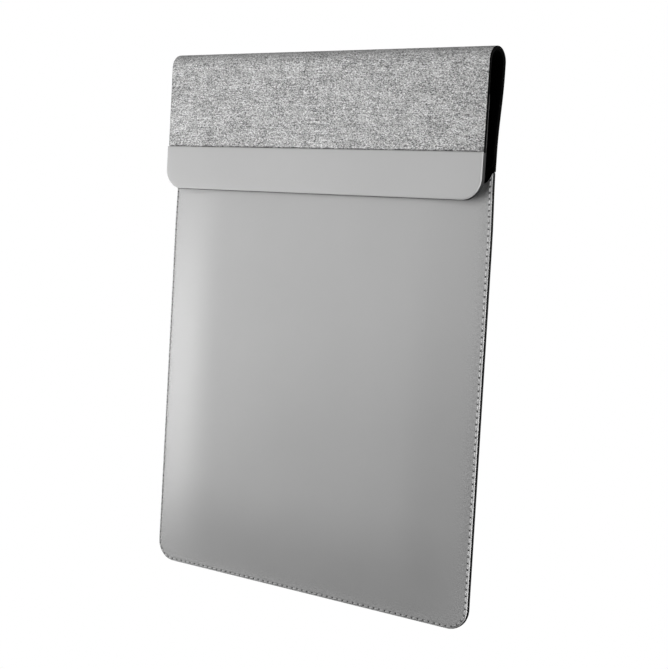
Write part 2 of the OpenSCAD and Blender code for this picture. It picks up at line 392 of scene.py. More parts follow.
def ramp(tree, value, stops):
    """A colour ramp from (position, grey) pairs."""
    node = tree.nodes.new("ShaderNodeValToRGB")
    elements = node.color_ramp.elements
    while len(elements) < len(stops):
        elements.new(0.5)
    for element, (position, shade) in zip(elements, stops):
        element.position = position
        element.color = grey(shade)
    tree.links.new(value, node.inputs["Fac"])
    return node.outputs["Color"]


def bump(tree, shader, height, distance, strength):
    """Raises a shader's surface by height x distance, in metres."""
    node = add_node(tree, "ShaderNodeBump", Strength=strength, Distance=distance)
    tree.links.new(height, node.inputs["Height"])
    tree.links.new(node.outputs["Normal"], shader.inputs["Normal"])


def vertex_value(tree, name):
    """The number that store() gave each vertex."""
    node = tree.nodes.new("ShaderNodeAttribute")
    node.attribute_name = name
    return node.outputs["Fac"]


def leather_material(name, shade, roughness=0.52):
    """Smooth coated leather: a fine pebble, stronger beside the stitches, and faint clouds, with
    painted shade in the needle holes and a painted highlight along the rim.
    """
    cloud_tone, pebble_tone = 0.05, 0.06   # how much each changes the shade
    mat, tree, shader = material(name, shade, roughness, 0.35)
    at = coordinates(tree)
    clouds = noise(tree, at, scale=14, detail=3)
    pebble = noise(tree, at, scale=1500, detail=3, roughness=0.6)
    cells = add_node(tree, "ShaderNodeTexVoronoi", Scale=1100)
    tree.links.new(at, cells.inputs["Vector"])
    seam, hole, rim = [vertex_value(tree, key) for key in ("seam", "hole", "rim")]
    tone = scaled(tree, clouds, cloud_tone, shade - cloud_tone / 2)
    speck = scaled(tree, pebble, pebble_tone, -pebble_tone / 2)
    speck = times(tree, speck, scaled(tree, seam, 6.0, 0.35))
    tone = math_node(tree, "ADD", tone, speck)
    # painted shade: each needle hole is darkened nearly to black
    tone = times(tree, tone, scaled(tree, hole, -0.96, 1.0))
    # painted highlight: the rim along the cut edge is lightened, as if lit from the right
    tone = times(tree, tone, scaled(tree, rim, 0.75, 1.0))
    tree.links.new(tone, shader.inputs["Base Color"])
    grain = math_node(tree, "ADD", times(tree, pebble, 0.6),
                      times(tree, cells.outputs["Distance"], 0.5))
    depth = times(tree, grain, scaled(tree, seam, 3.0, 0.5))
    bump(tree, shader, depth, distance=0.00012, strength=0.5)
    rough = scaled(tree, clouds, 0.12, roughness - 0.06)
    tree.links.new(rough, shader.inputs["Roughness"])
    shader.inputs["Coat Weight"].default_value = 0.04
    shader.inputs["Coat Roughness"].default_value = 0.4
    return mat


def felt_fibres(tree, at):
    """A mix of fine specks and fibres that lie mostly across the sleeve, about 0.5."""
    across = coordinates(tree, stretch=(0.45, 1, 1))
    streaks = coordinates(tree, stretch=(0.10, 1, 1))
    fibres = noise(tree, across, scale=1800, detail=2, roughness=0.65)
    specks = noise(tree, at, scale=1800, detail=2, roughness=0.6)
    strands = noise(tree, streaks, scale=900, detail=3, roughness=0.6, distortion=0.6)
    clouds = noise(tree, at, scale=90, detail=3, roughness=0.6)
    mixed = math_node(tree, "ADD", times(tree, fibres, 0.45), times(tree, specks, 0.40))
    mixed = math_node(tree, "MULTIPLY_ADD", strands, 0.15, mixed)
    mixed = math_node(tree, "MULTIPLY_ADD", clouds, 0.10, mixed)
    return math_node(tree, "SUBTRACT", mixed, 0.05)


def felt_material(name):
    """Grey melange felt, with painted shade, dark and ragged, in the crease where it meets the
    trim.
    """
    mat, tree, shader = material(name, 0.36, 0.95, 0.12)
    at = coordinates(tree)
    fibres = felt_fibres(tree, at)
    shade = ramp(tree, fibres, [(0.385, 0.045), (0.452, 0.25), (0.527, 0.56), (0.62, 0.95)])
    # painted shade in the crease over the trim, broken up by noise
    ragged = math_node(tree, "MULTIPLY_ADD", noise(tree, at, scale=380), 3.2, -0.75, clamp=True)
    dark = times(tree, times(tree, vertex_value(tree, "seam"), -0.9), ragged)
    dark = math_node(tree, "ADD", dark, 1.0)
    tinted = tree.nodes.new("ShaderNodeMix")
    tinted.data_type = "RGBA"
    tinted.blend_type = "MULTIPLY"
    tinted.inputs["Factor"].default_value = 1
    tree.links.new(shade, tinted.inputs[6])
    tree.links.new(dark, tinted.inputs[7])
    tree.links.new(tinted.outputs[2], shader.inputs["Base Color"])
    bump(tree, shader, fibres, distance=0.0006, strength=0.5)
    shader.inputs["Sheen Weight"].default_value = 0.12
    shader.inputs["Sheen Roughness"].default_value = 0.6
    return mat


def lining_material(name):
    """Black brushed lining with a few lighter fibres."""
    mat, tree, shader = material(name, 0.004, 1.0, 0.03)
    lint = noise(tree, coordinates(tree), scale=700, detail=3, roughness=0.7)
    shade = ramp(tree, lint, [(0.55, 0.0025), (0.68, 0.008), (0.78, 0.03)])
    tree.links.new(shade, shader.inputs["Base Color"])
    bump(tree, shader, lint, distance=0.0004, strength=0.6)
    return mat


def plain_material(name, shade, roughness, specular, scale, depth):
    """A plain finish with a fine uneven surface; scale in grains a metre, depth in metres."""
    mat, tree, shader = material(name, shade, roughness, specular)
    grain = noise(tree, coordinates(tree), scale, detail=3, roughness=0.6)
    tree.links.new(scaled(tree, grain, shade * 0.3, shade * 0.85), shader.inputs["Base Color"])
    bump(tree, shader, grain, depth, strength=0.5)
    return mat


def magnet_material(name):
    """Nickel plating, a little scratched."""
    mat, tree, shader = material(name, 0.55, 0.28)
    shader.inputs["Metallic"].default_value = 1
    grain = noise(tree, coordinates(tree), scale=2500)
    tree.links.new(scaled(tree, grain, 0.2, 0.2), shader.inputs["Roughness"])
    bump(tree, shader, grain, distance=0.00005, strength=0.3)
    return mat


LEATHER = leather_material("grey_leather", 0.43)
TRIM_LEATHER = leather_material("trim_leather", 0.47, 0.48)
LEATHER_EDGE = plain_material("leather_cut_edge", 0.75, 0.8, 0.2, 900, 0.0001)
FELT = felt_material("melange_felt")
LINING = lining_material("black_lining")
BLACK_EDGE = plain_material("black_edge", 0.004, 0.55, 0.08, 500, 0.0001)
DARK_EDGE = plain_material("dark_grey_edge", 0.017, 0.6, 0.25, 500, 0.0001)
FACING = plain_material("dark_grey_facing", 0.022, 0.55, 0.3, 1200, 0.0001)
FOAM = plain_material("foam", 0.05, 0.9, 0.1, 1800, 0.0004)
BOARD = plain_material("fibre_board", 0.02, 0.8, 0.2, 800, 0.0002)
THREAD = plain_material("thread", 0.52, 0.7, 0.2, 2500, 0.0001)
MAGNET = magnet_material("nickel")


# -------------------------------- the row round the edge

ROW_R = CORNER_R - SEAM_INSET
ROW_SIDE = ROW_TOP - CORNER_R
ROW_BEND = ROW_R * math.pi / 2
ROW_BASE = 2 * (HALF_W - CORNER_R)
ROW_LENGTH = 2 * ROW_SIDE + 2 * ROW_BEND + ROW_BASE
ROW_EXTRA = RIM_TOP - ROW_TOP
STITCHES = round(ROW_LENGTH / STITCH_LENGTH)
PITCH = ROW_LENGTH / STITCHES


def ring_radius(inset):
    """Corner radius of the ring at an inset: it shrinks with the corner, then grows softly."""
    return np.interp(inset, [0, 8, 20, 60], [CORNER_R, 5.5, 8, 16])


def ring(inset, s):
    """Points x, z of a ring round the panel at distances s along the row of stitches."""
    r = ring_radius(inset)
    xc, zc = HALF_W - inset - r, inset + r
    s = np.asarray(s, float)
    mirrored = s > ROW_LENGTH / 2
    t = np.where(mirrored, ROW_LENGTH - s, s)
    up = (ROW_SIDE - t) / (ROW_SIDE + ROW_EXTRA)
    angle = np.pi + np.clip((t - ROW_SIDE) / ROW_BEND, 0, 1) * np.pi / 2
    along = np.clip((t - ROW_SIDE - ROW_BEND) / (ROW_BASE / 2), 0, 1)
    x = np.where(up > 0, -xc - r, -xc + r * np.cos(angle))
    z = np.where(up > 0, zc + up * (RIM_TOP - zc), zc + r * np.sin(angle))
    x = np.where(along > 0, -xc * (1 - along), x)
    z = np.where(along > 0, inset, z)
    x = np.where(mirrored, -x, x) * half_at(z) / HALF_W
    return x, dip(x, z)


# distances along the row: its ends and needle holes, and more points for the rings near it
COARSE_S = np.concatenate([[-ROW_EXTRA], np.arange(STITCHES + 1) * PITCH,
                           [ROW_LENGTH + ROW_EXTRA]])
FINE = 8                                   # points for each stitch near the edge
FINE_S = np.interp(np.arange((len(COARSE_S) - 1) * FINE + 1) / FINE,
                   np.arange(len(COARSE_S)), COARSE_S)
RIM_INSETS = [0.35, 0.6, 0.85, 1.15, 1.45, 1.75, 2.05, 2.4, 2.9, 3.6, 4.6]
PANEL_INSETS = [5.8, 7.2, 9, 11.5, 14.5, 18, 22, 26, 30, 34, 38, 42, 46, 50]
HOLE_R = 0.62                              # size of the spot of painted shade at each needle hole
HOLE_DEPTH, HOLE_SPREAD = 0.45, 0.20       # how the threads pull the leather in at a hole,
GROOVE_DEPTH, GROOVE_SPREAD = 0.16, 0.7    # and between the holes
RIM_DROP, RIM_ROUND = 0.62, 1.2            # how the leather rounds over at its cut edge


def stitch_dent(s, inset):
    """Depth that the stitches pull the leather in: a groove, deeper at each needle hole."""
    across = (inset - SEAM_INSET) ** 2
    phase = (s / PITCH) - np.round(s / PITCH)
    hole = HOLE_DEPTH * np.exp(-((phase * PITCH) ** 2 + across) / HOLE_SPREAD)
    groove = GROOVE_DEPTH * np.exp(-across / GROOVE_SPREAD)
    return hole + groove


def panel_points(height, first_inset, dents):
    """Points x, z, height of a panel: rings round its edge, then a patch that fills them."""
    rim = [i for i in RIM_INSETS if i > first_inset + 0.1]
    rim.insert(0, first_inset)
    blocks = []
    for inset in rim:
        x, z = ring(inset, FINE_S)
        h = height(x, z)
        if dents:
            h = h - stitch_dent(FINE_S, inset)
            h = h - RIM_DROP * np.clip(1 - (inset - first_inset) / RIM_ROUND, 0, 1) ** 1.5
        blocks.append(np.stack([x, z, h], 1))
    for inset in PANEL_INSETS:
        x, z = ring(inset, COARSE_S)
        blocks.append(np.stack([x, z, height(x, z)], 1))
    last = blocks[-1]
    side = int(np.searchsorted(COARSE_S, ROW_SIDE + ROW_BEND / 2))
    left, right = last[side::-1], last[-1 - side:]
    base = last[side:len(last) - side]
    rows, cols = len(left), len(base)
    u = np.tile(np.linspace(0, 1, cols), (rows, 1))
    v = (left[:, 1] - left[0, 1])[:, None] / (left[-1, 1] - left[0, 1]) * np.ones((1, cols))
    top_x = left[-1, 0] * (1 - u[-1]) + right[-1, 0] * u[-1]
    top_z = dip(top_x, np.full_like(top_x, RIM_TOP))
    top = np.stack([top_x, top_z, 0 * top_x], 1)[None]
    corners = ((1 - u) * (1 - v))[..., None] * left[0] + (u * (1 - v))[..., None] * right[0] \
        + ((1 - u) * v)[..., None] * left[-1] + (u * v)[..., None] * right[-1]
    patch = (1 - u)[..., None] * left[:, None] + u[..., None] * right[:, None] \
        + (1 - v)[..., None] * base[None] + v[..., None] * top - corners
    patch[..., 2] = height(patch[..., 0], patch[..., 1])
    return blocks, patch[1:, 1:-1], side


def panel_surface(height, first_inset, dents, first):
    """Points, faces, outer loop and mouth loop of one surface of a panel."""
    blocks, inner, side = panel_points(height, first_inset, dents)
    starts = first + np.cumsum([0] + [len(b) for b in blocks])
    faces = []
    for k in range(len(blocks) - 1):
        here, there = len(blocks[k]), len(blocks[k + 1])
        a, b = starts[k], starts[k + 1]
        if here == there:
            faces += bridge(range(a, a + here), range(b, b + there), False)
        else:
            for i in range(there - 1):
                outer = [a + i * FINE + j for j in range(FINE + 1)]
                faces.append(outer + [b + i + 1, b + i])
    last, patch_start = starts[len(blocks) - 1], starts[-1]
    count = len(blocks[-1])
    rows, cols = inner.shape[0] + 1, inner.shape[1] + 2
    index = np.empty((rows, cols), int)
    index[:, 0] = last + side - np.arange(rows)
    index[:, -1] = last + count - 1 - side + np.arange(rows)
    index[0] = last + side + np.arange(cols)
    index[1:, 1:-1] = patch_start + np.arange(inner.shape[0] * inner.shape[1]).reshape(
        inner.shape[:2])
    for low, high in zip(index.tolist(), index[1:].tolist()):
        faces += bridge(low, high, False)
    points = np.concatenate(blocks + [inner.reshape(-1, 3)])
    outer_loop = [int(starts[0]) + i for i in range(len(blocks[0]))]
    mouth = [int(s) for s in starts[:-1]]
    mouth += [int(i) for i in index[-1, 1:-1]]
    mouth += [int(starts[k]) + len(blocks[k]) - 1 for k in range(len(blocks) - 1, -1, -1)]
    return points, faces, outer_loop, mouth


def place(points, side):
    """x, z, height to x, y, z on the front or the back."""
    return np.stack([points[:, 0], SEAM_Y + side * points[:, 2], points[:, 1]], 1)


def panel(name, node, side, first_inset, outside, inside):
    """One leather panel: a closed shell with dented stitching and a soft, padded swell."""
    out, faces, loop, mouth = panel_surface(outside, first_inset, True, 0)
    inn, more, loop_in, mouth_in = panel_surface(inside, first_inset, False, len(out))
    faces = faces + more + bridge(loop, loop_in, False) + bridge(mouth, mouth_in, False)
    points = np.concatenate([place(out, side), place(inn, side)])
    obj = add_mesh(name, points, faces, LEATHER, LEATHER_EDGE, LINING)
    mark_panel(obj)
    paint_panel(obj, side)
    sharpen(obj, 70)
    stand_in(obj, [node], "sleeve")


def mark_panel(obj):
    """Tells the leather where its grain is coarser, where the needle holes take painted shade, and
    where the rim takes a painted highlight.
    """
    grain_start, grain_fade, highlight_width, highlight_fade_left = 2.0, 6.5, 1.3, 12.0
    co = vertices(obj)
    inset = np.minimum(HALF_W - np.abs(co[:, 0]), co[:, 2])
    store(obj, "seam", np.exp(-(np.maximum(inset - grain_start, 0) / grain_fade) ** 2))
    hole_x, hole_z = ring(SEAM_INSET, np.arange(STITCHES + 1) * PITCH)
    apart = np.hypot(co[:, None, 0] - hole_x, co[:, None, 2] - hole_z).min(1)
    store(obj, "hole", np.exp(-(apart / HOLE_R) ** 4))
    # painted highlight on the rim, faded out towards the left side, which the light from the right
    # does not reach
    lit = smooth((co[:, 0] + HALF_W) / highlight_fade_left)
    store(obj, "rim", np.clip(highlight_width - inset, 0, 1) ** 0.5 * lit)


def paint_panel(obj, side):
    """The cut edge shows the leather's lighter base; the inside is dark."""
    edge_index, inside_index = 1, 2
    for p in obj.data.polygons:
        c = np.array(p.center) / MM
        inset = min(half_at(c[2]) - abs(c[0]), c[2])
        looks_inwards = p.normal[1] * side < -0.5
        looks_sideways = abs(p.normal[1]) < 0.35 and (p.normal[2] < 0.6 or c[2] < CORNER_R)
        if looks_inwards:
            p.material_index = inside_index
        elif inset < CORNER_R and looks_sideways:
            p.material_index = edge_index


panel("front_panel", "front_leather", FRONT, 0.2, swell, under_leather)
panel("back_panel", "back_leather", BACK, 0.7, swell_back, under_back_leather)


# -------------------------------- stitches

EDGE_THREAD_R, THREAD_R = 0.31, 0.25
PLY, TWIST = 0.12, 0.8                     # how far the two plies stand out, and their turn
THREAD_END = 0.11                          # share of a stitch between its end and the hole
THREAD_RISE, THREAD_SINK = 0.24, 0.22      # over the surface in the middle, under it at the ends
THREAD_PRESS = 0.02                        # how far a straight row is pressed in


def thread(path, radius, sides=8):
    """Points and faces of a twisted two-ply thread along a path, with pointed ends."""
    ahead = np.gradient(path, axis=0)
    ahead /= np.linalg.norm(ahead, axis=1)[:, None]
    up = np.cross(ahead, [0.0, 0.0, 1.0])
    upright = np.linalg.norm(up, axis=1) < 0.3
    up[upright] = np.cross(ahead[upright], [1.0, 0.0, 0.0])
    up /= np.linalg.norm(up, axis=1)[:, None]
    out = np.cross(ahead, up)
    n = len(path)
    points = []
    for i in range(n):
        ends = math.sin(math.pi * (i + 0.6) / (n + 0.2)) ** 0.35
        for j in range(sides):
            a = 2 * math.pi * j / sides
            ply = 1 + PLY * math.cos(2 * (a - TWIST * i))
            points.append(path[i] + radius * ends * ply
                          * (math.cos(a) * up[i] + math.sin(a) * out[i]))
    return np.array(points), sweep_faces(n, sides)


def join_parts(name, parts, *materials):
    """One object from a list of (points, faces)."""
    points, faces, first = [], [], 0
    for p, f in parts:
        points.append(p)
        faces += [[first + i for i in face] for face in f]
        first += len(p)
    return add_mesh(name, np.concatenate(points), faces, *materials)


def stitch_path(a, b, outward):
    """A thread from hole a to hole b that arches a little over the surface."""
    t = np.linspace(THREAD_END, 1 - THREAD_END, 9)[:, None]
    lift = -THREAD_SINK + (THREAD_RISE + THREAD_SINK) * np.sin(np.pi * t) ** 0.7
    return a * (1 - t) + b * t + lift * outward


def stitch_row(name, x, z, over_seam, side, radius, node):
    """One thread from each hole to the next, over the front or the back."""
    holes = np.stack([x, SEAM_Y + side * over_seam, z], 1)
    outward = np.array([0.0, side, 0.0])
    parts = [thread(stitch_path(a, b, outward), radius) for a, b in zip(holes[:-1], holes[1:])]
    stand_in(join_parts(name, parts, THREAD), [node], "sleeve")


def edge_row(name, side, rim, node):
    """The row round the edge, on one side."""
    x, z = ring(SEAM_INSET, np.arange(STITCHES + 1) * PITCH)
    stitch_row(name, x, z, np.full_like(x, rim - GROOVE_DEPTH), side, EDGE_THREAD_R, node)


edge_row("front_edge_stitches", FRONT, HALF_EDGE, "seam_needle_thread")
edge_row("back_edge_stitches", BACK, BACK_EDGE, "seam_bobbin_thread")


def straight_row(name, height, side, node):
    """A straight row of stitches across a panel, as long as its CAD node."""
    low, high = node_box(node)
    count = int(round((high[0] - low[0]) / PITCH))
    x = np.linspace(low[0], high[0], count + 1)
    z = np.full_like(x, (low[2] + high[2]) / 2)
    stitch_row(name, x, z, height(x, z) - THREAD_PRESS, side, THREAD_R, node)


def inside_mouth(x, z):
    """Where the inner stitches lie, pressed into the lining."""
    return under_lining(x, z) - 0.5


straight_row("band_stitches", swell_back, BACK, "band_thread")
straight_row("mouth_stitches_outside", swell, FRONT, "mouth_needle_thread")
straight_row("mouth_stitches_inside", inside_mouth, FRONT, "mouth_bobbin_thread")


# -------------------------------- edge binding

def edge_binding():
    """Black strip round the edge: a rounded bead with a tongue between the two panels."""
    bead = [(0.22, -0.50), (0.02, -0.40), (-0.06, 0.1), (-0.08, 0.9), (-0.04, 1.7),
            (0.08, 2.08), (0.28, 2.22), (0.55, 2.18), (0.66, 1.95), (0.68, 0.46)]
    tongue = [(4.9, 0.38), (4.9, -0.38), (0.9, -0.42)]
    side_end, base_start = ROW_SIDE, ROW_SIDE + ROW_BEND
    spans = [np.linspace(-ROW_EXTRA, side_end, 24), side_end + np.linspace(0, ROW_BEND, 14)[1:],
             np.linspace(base_start, ROW_LENGTH - base_start, 24)[1:],
             ROW_LENGTH - side_end - np.linspace(ROW_BEND, 0, 14)[1:],
             np.linspace(ROW_LENGTH - side_end, ROW_LENGTH + ROW_EXTRA, 24)[1:]]
    s = np.concatenate(spans)
    loops = []
    for inset, behind_seam in bead + tongue:
        x, z = ring(inset, s)
        loops.append(np.stack([x, np.full_like(x, SEAM_Y + behind_seam), z], 1))
    obj = swept("edge_strip", loops, BLACK_EDGE, 50)
    stand_in(obj, ["edge_binding"], "sleeve")


edge_binding()


# -------------------------------- layers inside the panels

PADDING_INSET, LINING_INSET = 6.2, 7.4     # from the panel's edge to the padding and lining


def half_width(z, inset):
    """Half of the width at height z of the panel's outline at an inset."""
    least_corner_r = 4.0
    r = max(CORNER_R - inset, least_corner_r)
    below = np.clip(inset + r - z, 0, r)
    return half_at(z) - inset - (r - np.sqrt(np.maximum(r * r - below * below, 0)))


def row_heights(low, high, step=4.0):
    """Heights of rows from low to high, a step apart."""
    return np.linspace(low, high, max(2, int((high - low) / step)))


def rows_from_base(inset, high):
    """Heights of a layer's rows from its base up, closer together in the rounded corners."""
    corner = [inset + rise for rise in (0, 0.15, 0.5, 1.2, 2.2, 3.5, 5, 7)]
    return np.concatenate([corner, row_heights(corner[-1], high)[1:]])


def layer(name, side, inset, z_rows, outside, inside, mat, cols=61):
    """One soft layer inside a panel, between two heights over the seam plane."""
    u = np.linspace(-1, 1, cols)
    w = half_width(z_rows, inset)
    x = w[:, None] * u[None]
    z = np.repeat(z_rows[:, None], cols, 1)
    z = z - sag(x) * eased(z, MOUTH_Z)
    grids = []
    for height in (outside, inside):
        flat = np.stack([x.ravel(), z.ravel(), height(x, z).ravel()], 1)
        grids.append(place(flat, side).reshape(len(z_rows), cols, 3))
    obj = slab(name, grids[0], grids[1], mat)
    sharpen(obj, 50)
    return obj


def below(height):
    """The same surface, a small gap further in."""
    return lambda x, z: height(x, z) - GAP


for name, side, outside in (("front", FRONT, under_leather), ("back", BACK, under_back_leather)):
    foam_rows = rows_from_base(PADDING_INSET, node_box(f"{name}_foam")[1][2])
    padding = layer(f"{name}_padding", side, PADDING_INSET, foam_rows, below(outside),
                    under_padding, FOAM)
    stand_in(padding, [f"{name}_foam"], "sleeve")

lining_rows = rows_from_base(LINING_INSET, mouth_facing_low[2] - 0.3)
facing_rows = row_heights(mouth_facing_low[2], mouth_facing_high[2], 2.0)
for name, rows, mat, node, slot in (
        ("front_lining_cloth", lining_rows, LINING, "front_lining", "lining"),
        ("mouth_facing_strip", facing_rows, FACING, "mouth_facing", "facing")):
    sheet = layer(name, FRONT, LINING_INSET, rows, below(under_padding), under_lining, mat)
    stand_in(sheet, [node], "sleeve")


def mouth_hem():
    """The front leather turned over the top of the mouth, as a rounded edge."""
    end_inset, round_height, depth, grain = 7.5, 0.55, 1.1, 0.5
    x = (HALF_W - end_inset) * np.linspace(-1, 1, 97)
    top = dip(x, np.full_like(x, RIM_TOP))
    out = swell(x, top) - 0.02
    inn = under_lining(x, top) + 0.05
    middle, reach = (out + inn) / 2, (out - inn) / 2
    section = [(math.cos(a), round_height * math.sin(a)) for a in np.linspace(0, math.pi, 9)]
    section += [(across, -depth) for across in (-1, -0.75, 0.75, 1)]
    loops = []
    for across, rise in section:
        y = SEAM_Y - (middle + across * reach)
        loops.append(np.stack([x, y, top - round_height + rise], 1))
    obj = swept("mouth_hem", loops, LEATHER, 60)
    store(obj, "seam", np.full(len(obj.data.vertices), grain))
    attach(obj, "sleeve")


mouth_hem()


# -------------------------------- cloths over the fold

# A cloth's path has nodes of three kinds: up the back at a height, over the fold at an angle in
# degrees, and down the front at a height.
WALL, ARC, HANG = "wall", "arc", "hang"
HINGES = {"sleeve": ("fold_rear", 0, 60), "fold_rear": ("fold_front", 60, 120),
          "fold_front": ("flap", 120, 180)}
CLOTH_LOW = 0.28                           # the felt's least height over the seam plane
WIDER = 0.55                               # how much wider the cloth is behind the fold
PRESSED, PRESS_WIDTH = 0.4, 0.6            # how the trim's edge is pressed into the felt


def cloth_nodes(kind, low, high, step):
    """Nodes of one kind from low to high, about a step apart."""
    count = max(1, int(round(abs(high - low) / step)))
    return [(kind, v) for v in np.linspace(low, high, count + 1)]


def tucked_in(value, x, z):
    """From 0 to 1 where the felt lies behind the sewn corners."""
    behind = smooth((corner_inset(value) + 0.6 - (half_at(z) - np.abs(x))) / 0.8)
    return behind * smooth(RIM_TOP + 0.2 - value)


def wall_height(value, x, z, depth):
    """Height over the seam plane of a cloth on the back, at a depth under the felt's outside."""
    if value < MOUTH_Z:
        height = under_leather(x, z) - GAP
    else:
        height = back_felt_height(x, z)
        tucked = tucked_in(value, x, z)
        under = np.minimum(height, under_back_leather(x, z) - GAP)
        height = height * (1 - tucked) + under * tucked
    is_lining = np.min(depth) >= FELT_T
    if is_lining:
        pocket = under_padding(x, z) - GAP - np.maximum(depth - FELT_T - GAP, 0)
        least = LINING_LOW + np.maximum(FELT_T + LINING_T - depth, 0) * 0.3
        share = smooth((value - MOUTH_Z + 2) / 10)
        return (height - depth) * share + np.maximum(pocket, least) * (1 - share)
    return np.maximum(height - depth, CLOTH_LOW) if value < RIM_TOP else height - depth


def cloth_row(node, x, depth):
    """Points across the cloth at one node of its path, at a depth under the felt's outside."""
    kind, value = node
    z = np.full_like(x, value)
    if kind == WALL:
        return np.stack([x, SEAM_Y + wall_height(value, x, z, depth), z], 1)
    if kind == ARC:
        r = FOLD_R - depth
        a = math.radians(value)
        return np.stack([x, SEAM_Y + FOLD_Y + r * math.cos(a), FOLD_Z + r * math.sin(a)], 1)
    pressed = PRESSED * math.exp(-((value - trim_high[2] - 0.1) / PRESS_WIDTH) ** 2)
    return np.stack([x, SEAM_Y - FLAP_Y + depth + pressed, z], 1)


def cloth(name, path, depth, thickness, half, *mats):
    """A sheet of cloth along a path of nodes, with rounded side edges and a black inside."""
    near_side = np.array([0, 0.12, 0.4, 1.0, 1.8, 2.8, 4.2])
    middle = np.linspace(-1, 1, 81)[2:-2]
    round_width, round_depth = 0.4, 0.3
    outer, inner = [], []
    for node in path:
        w = half(node)
        d = near_side / w
        across = np.concatenate([-1 + d, middle, 1 - d[::-1]]) * w
        edge = np.clip((w - np.abs(across)) / round_width, 0, 1)
        turn = round_depth * (1 - np.sqrt(1 - (1 - edge) ** 2))
        outer.append(cloth_row(node, across, depth + turn))
        inner.append(cloth_row(node, across, depth + thickness - turn * 0.6))
    obj = slab(name, np.array(outer), np.array(inner), *mats)
    strips = len(outer[0]) - 1
    outside = (len(outer) - 1) * strips
    for p in obj.data.polygons:
        from_side = min(p.index % strips, strips - 1 - p.index % strips)
        p.material_index = int(p.index >= outside or from_side < 2)
    sharpen(obj, 60)
    return obj


def fold_blend(obj):
    """Bakes a stretch of cloth's placement into its mesh; it is not bent across a hinge."""
    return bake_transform(obj)


def spread(node):
    """The cloth is a little wider behind the fold than on the flap."""
    kind, value = node
    behind = {WALL: 1.0, ARC: float(smooth(1 - value / 150)), HANG: 0.0}[kind]
    return FLAP_HALF + WIDER * behind


def felt_half(node):
    """The felt's sides are tucked in behind the sewn corners, down to the lap."""
    kind, value = node
    wide = spread(node)
    if kind != WALL:
        return wide
    tucked = half_at(value) - max(corner_inset(value) - 1.2, 0.8)
    share = float(smooth(value - RIM_TOP + 0.9))
    return tucked * (1 - share) + wide * share


def lining_half(node):
    """The lining fills the pocket's width, then comes out to just inside the felt's sides."""
    kind, value = node
    wide = spread(node) - 0.3
    if kind != WALL:
        return wide
    pocket = half_width(np.array([value]), LINING_INSET)[0]
    share = float(smooth((value - RIM_TOP) / 4))
    return pocket * (1 - share) + wide * share


def shade_at_trim(felt):
    """Tells the felt where to take painted shade, in the crease over the trim's edge."""
    co = vertices(felt)
    above_trim = np.maximum(co[:, 2] - trim_high[2] - 0.25, 0)
    on_front = co[:, 1] < SEAM_Y - FLAP_Y + 3
    store(felt, "seam", on_front * np.exp(-(above_trim / 0.45) ** 2))


FINE_STEP, STEP = 0.4, 3.0                 # between the rows near the sewn corners, and elsewhere
arcs = [cloth_nodes(ARC, first, last, 4) for _, first, last in HINGES.values()]
felt_wall = cloth_nodes(WALL, MOUTH_Z - LAP, MOUTH_Z, 4)[:-1] \
    + cloth_nodes(WALL, MOUTH_Z, RIM_TOP + 3, FINE_STEP)[:-1] \
    + cloth_nodes(WALL, RIM_TOP + 3, FOLD_Z - 1.5, STEP)
felt_hang = cloth_nodes(HANG, FOLD_Z - 2, trim_high[2] + 3, STEP) \
    + cloth_nodes(HANG, trim_high[2] + 2.4, trim_high[2] - 0.6, 0.3) \
    + cloth_nodes(HANG, trim_high[2] - 2, trim_high[2] - 9, STEP)
lining_wall = [(WALL, z) for z in rows_from_base(LINING_INSET, FOLD_Z - 1.5)]
lining_hang = cloth_nodes(HANG, FOLD_Z - 2, facing_high[2] + 0.12, STEP)

for part, body, felt_path, lining_path, felt_nodes, lining_nodes in (
        ("back", "sleeve", felt_wall + arcs[0], lining_wall + arcs[0],
         ["back_felt"], ["back_lining"]),
        ("top", "fold_rear", arcs[1], arcs[1],
         ["fold_felt_rear"], ["fold_lining_rear"]),
        ("front", "fold_front", arcs[2] + felt_hang, arcs[2] + lining_hang,
         ["flap_felt", "fold_felt_front"], ["flap_lining", "fold_lining_front"])):
    felt = cloth(f"felt_{part}", felt_path, 0, FELT_T, felt_half, FELT, LINING)
    shade_at_trim(felt)
    lining = cloth(f"lining_{part}", lining_path, FELT_T + GAP, LINING_T - GAP, lining_half,
                   LINING, LINING)
    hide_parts(*felt_nodes)
    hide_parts(*lining_nodes)
    fold_blend(felt)
    fold_blend(lining)


# -------------------------------- the flap's stiff end

FLAP_CORNER_R = 12.5
TRIM_PROUD = 0.35                          # how much the trim stands out further than its node
BOARD_INSET = 0.25                         # the board ends inside the sealed edge


def sides_and_base(half, low, high, radius, inset, top_r, count):
    """Points x, z down a strip's left side, along its base and up its right side."""
    r = max(radius - inset, 0.4)
    xc, zc = half - inset - r, low + inset + r
    tx, side_top = half - inset, high - inset - top_r
    angles = np.linspace(0, np.pi / 2, count)
    part = np.linspace(0, 1, 6)
    left_side = [(-tx, side_top + (zc - side_top) * t) for t in part[:-1]]
    left_corner = [(-xc - r * np.cos(a), zc - r * np.sin(a)) for a in angles]
    base = [(-xc + 2 * xc * t, low + inset) for t in np.linspace(0, 1, 31)[1:-1]]
    right_corner = [(xc + r * np.sin(a), zc - r * np.cos(a)) for a in angles]
    right_side = [(tx, zc + (side_top - zc) * t) for t in part[1:]]
    return left_side + left_corner + base + right_corner + right_side


def rounded_outline(half, low, high, radius, inset):
    """Points x, z round a strip whose two lower corners are rounded."""
    top_r, cut = 0.5, 0.15
    tx, tz = half - inset, high - inset
    sides = sides_and_base(half, low, high, radius, inset, top_r, 14)
    top = [((tx - top_r) * (1 - 2 * t), tz) for t in np.linspace(0, 1, 41)]
    return np.array(sides + [(tx - cut, tz - cut)] + top + [(-tx + cut, tz - cut)])


def flat_loop(xz, y):
    """Points x, y, z of an outline at one y."""
    xz = np.asarray(xz)
    return np.stack([xz[:, 0], np.full(len(xz), y), xz[:, 1]], 1)


